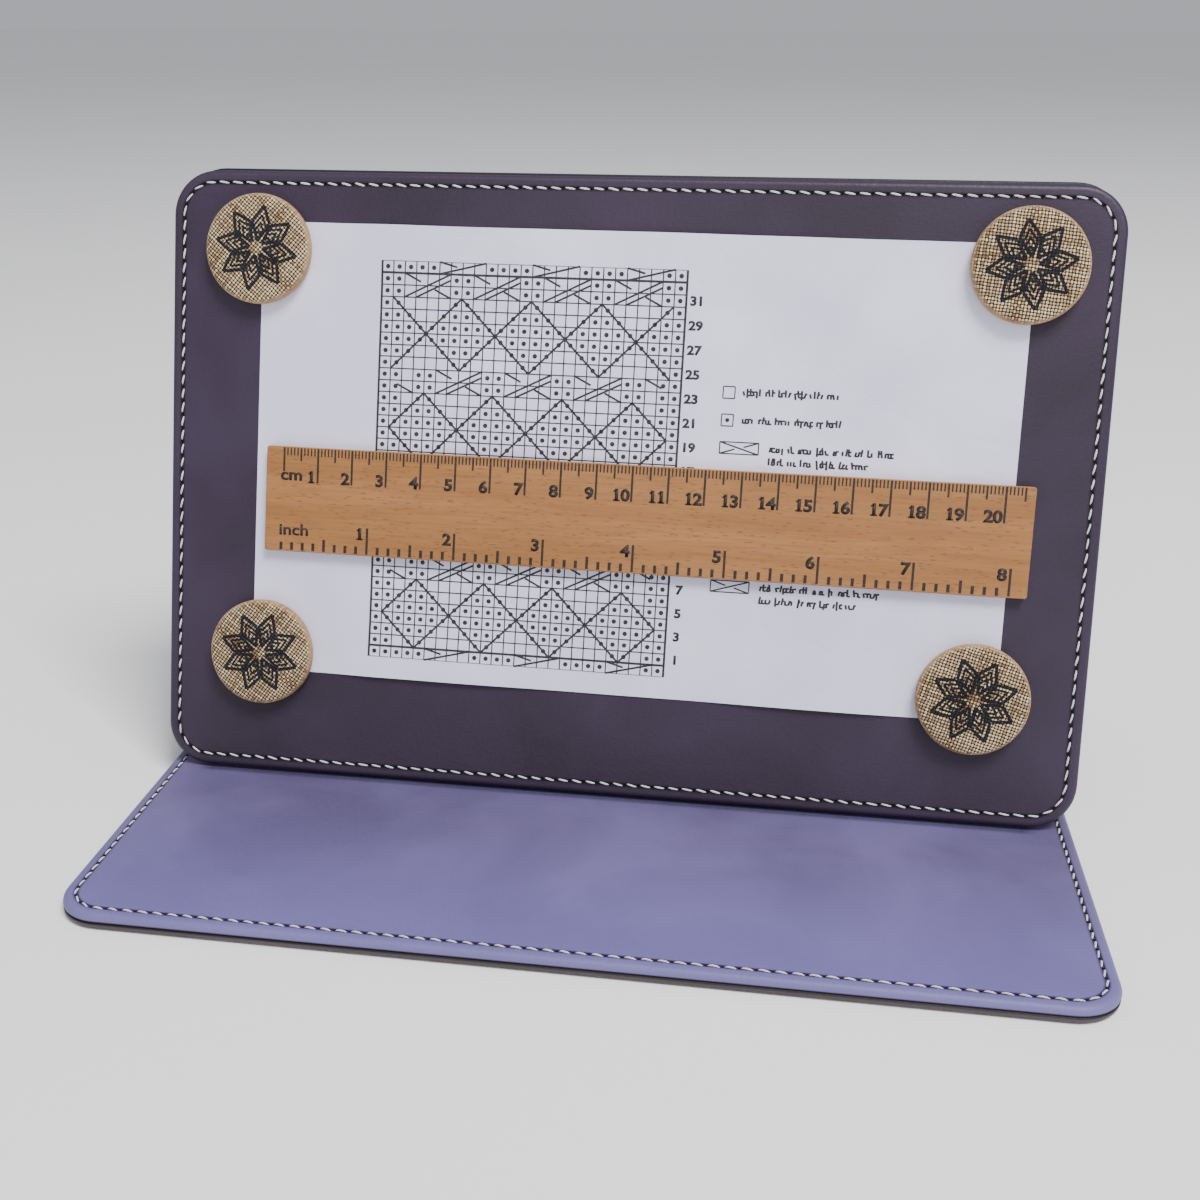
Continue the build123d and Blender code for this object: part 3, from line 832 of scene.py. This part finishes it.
KEY_LEFT = 28.0
NARROW_SIGN = 3.2
WIDE_SIGN = 10.6
DOT_SIGN_Y = 14.6
for y in (22.1, DOT_SIGN_Y):
    key_box(KEY_LEFT, y, NARROW_SIGN)
    greeked_line(KEY_LEFT + 4.2, y, 24.0)
middle = KEY_LEFT + (WIDE_SIGN - NARROW_SIGN) / 2
wide_signs = ((7.1, 32.0), (-1.0, 30.0), (-8.9, 31.0), (-16.8, 29.0), (-24.0, 30.0), (-31.1, 32.0))
for index, (y, length) in enumerate(wide_signs):
    key_box(middle, y, WIDE_SIGN)
    tilt = 1 if index % 2 else -1
    for x0, y0, x1, y1 in ((-5.3, -1.6, 5.3, 1.6), (-5.3, 1.6, -1.2, 0.3), (1.2, -0.3, 5.3, -1.6)):
        key_strokes.append(stroke_place(middle + x0, y + y0 * tilt, middle + x1, y + y1 * tilt, 0.42))
    greeked_line(KEY_LEFT + 12.0, y, length)
    greeked_line(KEY_LEFT + 12.0, y - 3.5, length - 5.0)
print_on_sheet(strokes_at(key_strokes), "key_lines")
print_on_sheet(dots_at(0.6, [moved(KEY_LEFT, DOT_SIGN_Y)]), "key_dot")

# %% [markdown]
# ## The ruler
#
# The ruler is steamed beech, planed and lacquered thin. Beech is a warm tan with a very fine, even
# grain, and its mark is the many short dark flecks where the medullary rays are cut. Its scales are
# printed in dark ink: centimetres along the top edge and inches along the bottom edge. Ticks are
# strokes copied along the edge at exact distances, because a ruler's marks are what give this whole
# object its size.

# %% Beech
MAGNET_GAP = 0.3  # the ruler and the buttons stand this far off the leaf, clear of the paper
RULER_THICKNESS = 2.6
ruler_face = display_front @ moved(5.9, 79.3, MAGNET_GAP + RULER_THICKNESS) @ turned(-0.52)

def lacquered_beech():
    """Steamed beech along the ruler, flat sawn, with short dark flecks and a thin satin lacquer."""
    beech, add = new_material("lacquered_beech")
    place = add("TexCoord", output="Object")
    along = add("Mapping", (place, ruler_face.translation, ruler_face.to_euler()), vector_type="TEXTURE")
    wood = colour("#98642F")
    made = {}
    # Each pattern is drawn out along the ruler: its length and width in mm, its limits and shares, its colour
    for pattern, kind, length, width, settings, limits, tone in (
        ("bands", "TexNoise", 90, 6, {"Detail": 3.0, "Distortion": 0.5}, (0.35, 0.65, 0.0, 1.0), "#A87440"),
        ("grain", "TexNoise", 14, 0.7, {"Detail": 4.0, "Roughness": 0.6}, (0.42, 0.7, 0.0, 0.65), "#82542D"),
        ("flecks", "TexVoronoi", 3.6, 0.75, {}, (0.08, 0.3, 0.65, 0.0), "#5A3519"),
        ("knots", "TexVoronoi", 27, 13, {}, (0.012, 0.03, 0.8, 0.0), "#3E2718"),
    ):
        size = (per_mm(length), per_mm(width), per_mm(width))
        drawn_out = add("VectorMath", (along, size), operation="MULTIPLY")
        made[pattern] = add(kind, {"Vector": drawn_out, "Scale": 1.0, **settings})
        share = add("MapRange", (made[pattern], *limits))
        wood = add("Mix", {0: share, 6: wood, 7: colour(tone)}, 2, data_type="RGBA")
    return finished(beech, add, made["grain"], 0.2, 0.05, {
        "Base Color": wood,
        "Roughness": add("MapRange", (made["grain"], 0.3, 0.7, 0.42, 0.56)),
        "Coat Weight": 0.12,
        "Coat Roughness": 0.35,
    })

dress(lacquered_beech(), "ruler_body")
print("the ruler's middle is at", [round(x / MM, 1) for x in ruler_face.translation])

# %% The ruler's scales
TOP_EDGE = 14.7
BOTTOM_EDGE = -14.55
ZERO_X = -101.25
INCH = 25.4
INK_THICKNESS = 0.05
# Ink burnt into bare beech: near black, and brown where the grain takes less of it
ruler_ink = two_tone("scale_ink_on_beech", "#140F0C", "#3E2A1E", 0.7, 0.6)

def mark_ruler(piece, name):
    """Set flat marks on the ruler's face, with the ink's thickness sunk into the wood."""
    apply_modifier(piece, "SOLIDIFY", thickness=INK_THICKNESS * MM, offset=-1.0)
    piece.data.transform(ruler_face @ moved(0.0, 0.0, INK_THICKNESS / 2))
    finish_piece(piece, name, ruler_ink, "ruler")

ticks = []
for millimetre in range(206):
    x = ZERO_X + millimetre
    length, width = 2.2, 0.42
    if millimetre % 10 == 0:
        length, width = (9.8 if millimetre else 6.8), 0.6
    elif millimetre % 5 == 0:
        length, width = 3.7, 0.55
    ticks.append(stroke_place(x, TOP_EDGE, x, TOP_EDGE - length, width))
mark_ruler(strokes_at(ticks), "centimetre_ticks")

ticks = []
for eighth in range(65):
    x = ZERO_X - 0.3 + eighth * INCH / 8
    length, width = 2.2, 0.88
    if eighth and eighth % 8 == 0:
        length, width = 7.5, 0.68
    elif eighth and eighth % 4 == 0:
        length, width = 3.5, 0.8
    ticks.append(stroke_place(x, BOTTOM_EDGE, x, BOTTOM_EDGE + length, width))
mark_ruler(strokes_at(ticks), "inch_ticks")

# %% The ruler's numerals
NUMERAL_SIZE = 4.5
NUMERAL_WEIGHT = 0.2
DIGIT_PITCH = 2.4

def ruler_number(number, x, y):
    """A number of evenly spaced digits. Each 1 gets the flag and the foot that Blender's typeface lacks."""
    digits = str(number)
    made = []
    for index, digit in enumerate(digits):
        middle = x + (index - (len(digits) - 1) / 2) * DIGIT_PITCH
        made.append(flat_text(digit, NUMERAL_SIZE, middle, y, NUMERAL_WEIGHT, 1.12))
        if digit == "1":
            heights = [vertex.co.y / MM for vertex in made[-1].data.vertices]
            head, foot = max(heights) - 0.3, min(heights) + 0.25
            flag = stroke_place(middle, head, middle - 0.85, head - 0.55, 0.55)
            made.append(strokes_at([flag, stroke_place(middle - 0.95, foot, middle + 0.95, foot, 0.5)]))
    return made

numerals = []
for centimetre in range(1, 21):
    x = ZERO_X + 10 * centimetre - (1.85 if centimetre < 10 else 2.95)
    numerals += ruler_number(centimetre, x, TOP_EDGE - 8.3)
for inch in range(1, 9):
    numerals += ruler_number(inch, ZERO_X + INCH * inch - 2.45, BOTTOM_EDGE + 5.55)
numerals.append(flat_text("cm", NUMERAL_SIZE, ZERO_X + 2.3, TOP_EDGE - 7.8, 0.16, 1.2))
numerals.append(flat_text("inch", NUMERAL_SIZE, ZERO_X + 3.4, BOTTOM_EDGE + 5.7, 0.12, 1.2))
mark_ruler(joined(numerals), "ruler_numerals")

# %% [markdown]
# ## The covered buttons
#
# Each button is a shallow steel cap with linen pulled over it and tucked in behind, round a magnet.
# Linen is a plain weave of uneven flax yarns: each warp yarn goes over and under the weft in turn,
# and the gaps between the yarns are coloured dark as painted shade. The cover is modelled by pulling
# a ring of edges out, up and in again over the cap. Its UV map measures the cloth from its middle
# along the surface, in millimetres, so the weave runs over the edge and down the side as real cloth does.

# %% Linen
YARN_PITCH = 0.86
PULLED_TIGHT = 14.7

def linen(name, dark, light, gap, side):
    """Plain weave on a UV map in mm. The real pitch is nearer 0.6 mm; it is drawn coarser, so that it shows."""
    cloth, add = new_material(name)
    flat = add("TexCoord", output="UV")
    place = flat.node.outputs["Object"]
    uneven = add("TexNoise", {"Vector": flat, "Scale": 0.3, "Detail": 2.0}, "Color", noise_dimensions="2D")
    yarns = add("VectorMath", (flat, [1 / YARN_PITCH] * 3), operation="MULTIPLY")
    yarns = add("Mix", {0: 0.3, 6: yarns, 7: uneven}, 2, data_type="RGBA", blend_type="LINEAR_LIGHT")
    # Across each yarn its round, its number and its own tone, first for the warp and then the weft
    rounds, numbers, tones = [], [], []
    for direction, first_tone in (("X", 0.0), ("Y", 400.5)):
        across = add("SeparateXYZ", (yarns,), direction)
        wave = add("Math", (across, math.pi), operation="MULTIPLY")
        wave = add("Math", (wave,), operation="SINE")
        rounds.append(add("Math", (wave,), operation="ABSOLUTE"))
        numbers.append(add("Math", (across,), operation="FLOOR"))
        tone = add("Math", (numbers[-1], first_tone), operation="ADD")
        tones.append(add("TexWhiteNoise", {"W": tone}, noise_dimensions="1D"))
    # The yarn on top shows its round, and falls away where it dives under its neighbour
    tops = []
    for own, crossed in (rounds, rounds[::-1]):
        flank = add("Math", (own, 0.5), operation="POWER")
        tops.append(add("Math", (flank, crossed), operation="MULTIPLY"))
    turn = add("Math", numbers, operation="ADD")
    turn = add("Math", (turn, 1.0), operation="PINGPONG")
    height = add("Mix", {0: turn, 2: tops[1], 3: tops[0]})
    yarn = add("Mix", {0: turn, 2: tones[1], 3: tones[0]})
    # The cloth's colour: uneven yarns, slow blotches, and painted shade in the gaps between the yarns.
    # Pulled tight round the edge the yarns close up, so fewer gaps show, and the side is painted darker
    # as painted shade on the button's side
    blotch = add("TexNoise", {"Vector": place, "Scale": per_mm(9), "Detail": 2.0})
    blotch = add("Math", (yarn, blotch), operation="ADD")
    # Painted shade in the gaps between the yarns, where the weave is low
    gap_shade = add("MapRange", (height, 0.32, 0.66, 1.0, 0.0))
    reach = add("VectorMath", (flat,), "Value", operation="LENGTH")
    tight_and_side_shade = add("MapRange", (reach, PULLED_TIGHT - 0.5, PULLED_TIGHT + 0.9, 0.0, 0.72))
    gap_shade = add("Mix", {0: tight_and_side_shade, 2: gap_shade, 3: 0.0})
    shown = colour(dark)
    for share, over in ((add("MapRange", (blotch, 0.4, 1.4)), light), (gap_shade, gap), (tight_and_side_shade, side)):
        shown = add("Mix", {0: share, 6: shown, 7: colour(over)}, 2, data_type="RGBA")
    fuzz = add("TexNoise", {"Vector": place, "Scale": per_mm(0.6), "Detail": 3.0})
    relief = add("Math", (fuzz, 0.3, height), operation="MULTIPLY_ADD")
    return finished(cloth, add, relief, 0.8, 0.16, {
        "Base Color": shown, "Roughness": 0.85, "Specular IOR Level": 0.2, "Sheen Weight": 0.1,
    })

# The last two colours are painted shade: in the gaps between the yarns, and on the button's side
natural_linen = linen("natural_linen", "#84613F", "#E4CCA3", "#1D140D", "#A37C50")
linen_print = linen("dark_print_on_linen", "#17171D", "#2C2C35", "#0A0A0D", "#17171D")

# %% The cloth cover's shape
BUTTON_RADIUS = 15.2
BUTTON_HEIGHT = 4.9
DOME = 0.5
EDGE_ROUND = 1.6
CLOTH = 0.4
DOME_RADIUS = (BUTTON_RADIUS ** 2 + DOME ** 2) / (2 * DOME)

def dome_height(radius):
    """Height in mm of the button's outside at a distance from its middle, over the flat of its dome."""
    return BUTTON_HEIGHT - DOME_RADIUS + math.sqrt(DOME_RADIUS ** 2 - radius ** 2)

def arc(height, start, end, steps):
    """Points of an arc round the button's edge, as (radius, height) in mm, between two angles in degrees."""
    turns = [math.radians(start + (end - start) * step / steps) for step in range(steps + 1)]
    middle = BUTTON_RADIUS - EDGE_ROUND
    return [(middle + EDGE_ROUND * math.cos(turn), height + EDGE_ROUND * math.sin(turn)) for turn in turns]

# The cover's section from its tucked edge, round the foot and the shoulder, to its middle
shoulder = BUTTON_HEIGHT - DOME - EDGE_ROUND + 0.08
section = [(12.75, 0.03), (13.2, 0.02)] + arc(EDGE_ROUND, -90, 0, 6) + arc(shoulder, 0, 86, 7)
section += [(radius, dome_height(radius)) for radius in (12.6, 11.0, 9.0, 7.0, 5.0, 3.0, 1.2)]

def make_cover():
    """The cloth over one button: a ring of edges pulled along the section, and closed in the middle."""
    radius, height = section[0]
    cover = new_piece(
        bpy.ops.mesh.primitive_circle_add,
        vertices=72, radius=radius * MM, location=(0.0, 0.0, height * MM), fill_type="NOTHING",
    )
    bpy.ops.object.transform_apply(location=True, rotation=False, scale=False)
    bpy.ops.object.mode_set(mode="EDIT")
    bpy.ops.mesh.select_all(action="SELECT")
    for next_radius, next_height in section[1:]:
        rise = (0.0, 0.0, (next_height - height) * MM)
        bpy.ops.mesh.extrude_region_move(TRANSFORM_OT_translate={"value": rise})
        bpy.ops.transform.resize(value=(next_radius / radius, next_radius / radius, 1.0))
        radius, height = next_radius, next_height
    bpy.ops.mesh.edge_face_add()
    bpy.ops.mesh.poke()
    bpy.ops.mesh.select_all(action="SELECT")
    bpy.ops.mesh.normals_make_consistent(inside=False)
    bpy.ops.object.mode_set(mode="OBJECT")
    return cover

def map_cloth(cover):
    """A UV map in mm, measured along the cover's surface from its middle."""
    outline = section[::-1]
    reach = [outline[0][0]]
    for start, end in zip(outline, outline[1:]):
        reach.append(reach[-1] + math.dist(start, end))
    for loop in cover.data.loops:
        at = cover.data.vertices[loop.vertex_index].co / MM
        radius = math.hypot(at.x, at.y)
        share = 0.0
        if radius > 0.01:
            nearest = min(range(len(outline)), key=lambda i: math.dist(outline[i], (radius, at.z)))
            share = reach[nearest] / radius
        cover.data.uv_layers[0].data[loop.index].uv = (at.x * share, at.y * share)

def pleat_tuck(cover):
    """Gather the cloth that is tucked in behind into small pleats."""
    for vertex in cover.data.vertices:
        at = vertex.co / MM
        if at.z < 0.9 and math.hypot(at.x, at.y) > 12.9:
            fold = math.cos(18 * math.atan2(at.y, at.x))
            vertex.co.z += 0.07 * (1 + fold) * eased(0.9 - at.z, 0.0, 0.9) * MM

cover_model = make_cover()
map_cloth(cover_model)
pleat_tuck(cover_model)
apply_modifier(cover_model, "SOLIDIFY", thickness=CLOTH * MM, offset=-1.0)
bpy.ops.object.shade_smooth_by_angle(angle=math.radians(40))
print("cover model:", len(cover_model.data.polygons), "faces")

# %% The print on the buttons
PETALS = 8
PETAL_FOOT = 2.0
PETAL_SHOULDER = (7.0, 2.6)
PETAL_TIP = 11.7
OUTLINE_WIDTH = 0.88
RIB_WIDTH = 0.6

def petal_strokes(direction):
    """One petal of a traditional knitting star: its outline, and ribs that slope back from its middle."""
    turn = Matrix.Rotation(direction, 2)
    along, aside = PETAL_SHOULDER
    slope = aside / (PETAL_TIP - along)
    lines = []
    for side in (-1, 1):
        shoulder = (along, side * aside)
        lines.append(((PETAL_FOOT, 0.0), shoulder, OUTLINE_WIDTH))
        lines.append((shoulder, (PETAL_TIP, 0.0), OUTLINE_WIDTH))
        for start in (4.7, 6.9, 9.1):
            # Where a rib parallel to the petal's tip meets the side that runs to its foot
            reach = (start - PETAL_FOOT) / ((along - PETAL_FOOT) / aside + 1 / slope)
            lines.append(((start, 0.0), (start - reach / slope, side * reach), RIB_WIDTH))
    return [stroke_place(*(turn @ Vector(start)), *(turn @ Vector(end)), width) for start, end, width in lines]

def make_star():
    """The star of eight petals as flat strokes, laid on the dome of a button."""
    places = []
    for petal in range(PETALS):
        places += petal_strokes(2 * math.pi * (petal + 0.5) / PETALS)
    star = strokes_at(places)
    for vertex in star.data.vertices:
        vertex.co.z = (dome_height(vertex.co.xy.length / MM) + 0.05) * MM
    apply_modifier(star, "SOLIDIFY", thickness=0.06 * MM, offset=-1.0)
    return star

def map_print(star, weave_turn):
    """The same UV map as the cloth's under it, so that the print takes the weave's relief."""
    for loop in star.data.loops:
        at = weave_turn.inverted() @ star.data.vertices[loop.vertex_index].co / MM
        star.data.uv_layers[0].data[loop.index].uv = at.xy

# %% Four buttons on the leaf
star_model = make_star()
# Place across and up the leaf in mm, turn of the print, and turn of the cloth in it, in degrees
button_places = {
    "top_left": (-104.0, 150.1, 12.0, 38.0),
    "top_right": (106.0, 150.7, -14.0, 8.0),
    "bottom_left": (-101.0, 35.5, 4.0, 52.0),
    "bottom_right": (100.4, 35.2, -4.0, -12.0),
}
for button, (across, up, turn, cloth_turn) in button_places.items():
    body = button + "_button"
    place = display_front @ moved(across, up, MAGNET_GAP) @ turned(turn)
    cover = set_at(cover_model, place @ turned(cloth_turn))
    finish_piece(cover, button + "_linen_cover", natural_linen, body, [body + "_cover"])
    map_print(star_model, turned(cloth_turn))
    finish_piece(set_at(star_model, place), button + "_print", linen_print, body)
for model in (cover_model, star_model):
    bpy.data.objects.remove(model)

# %% [markdown]
# ## Floor and light
#
# The photograph was cut out on white and lit by broad, soft daylight from above, in front and a
# little to the right. A pale floor with a bright even surround gives that softness, and two large
# lamps give the direction: a strong one high up, whose shadows under the buttons and the ruler show
# how far these stand off the sheet, and a weak one in front that lifts the lower half of the
# display leaf.

# %% Floor
floor = new_piece(bpy.ops.mesh.primitive_plane_add, size=60.0)
floor.data.transform(moved(0.0, 0.0, -0.2))
floor.name = "studio_floor"
give_material(floor, two_tone("matt_white_floor", "#FBFBFB", "#FEFEFE", 300, 0.9, 0.1))
print("floor laid")

# %% Light
def soft_lamp(name, place, aim, size, power):
    """A large square lamp that points at a place."""
    lamp_data = bpy.data.lights.new(name, "AREA")
    lamp_data.shape = "SQUARE"
    lamp_data.size = size
    lamp_data.energy = power
    lamp = bpy.data.objects.new(name, lamp_data)
    lamp.location = place
    way = Vector(aim) - Vector(place)
    lamp.rotation_euler = way.to_track_quat("-Z", "Y").to_euler()
    bpy.context.scene.collection.objects.link(lamp)
    print(name, "shines from", round(way.length, 2), "m away")

surround = bpy.data.worlds.new("pale_surround")
surround.use_nodes = True
background = surround.node_tree.nodes["Background"]
background.inputs["Color"].default_value = (0.93, 0.94, 1.0, 1.0)
background.inputs["Strength"].default_value = 0.5
bpy.context.scene.world = surround
soft_lamp("daylight_above", (0.78, -0.9, 2.25), (0.0, 0.0, 0.06), 1.0, 80.0)
soft_lamp("daylight_front", (0.1, -1.1, 0.6), (0.0, 0.0, 0.05), 0.7, 1.9)
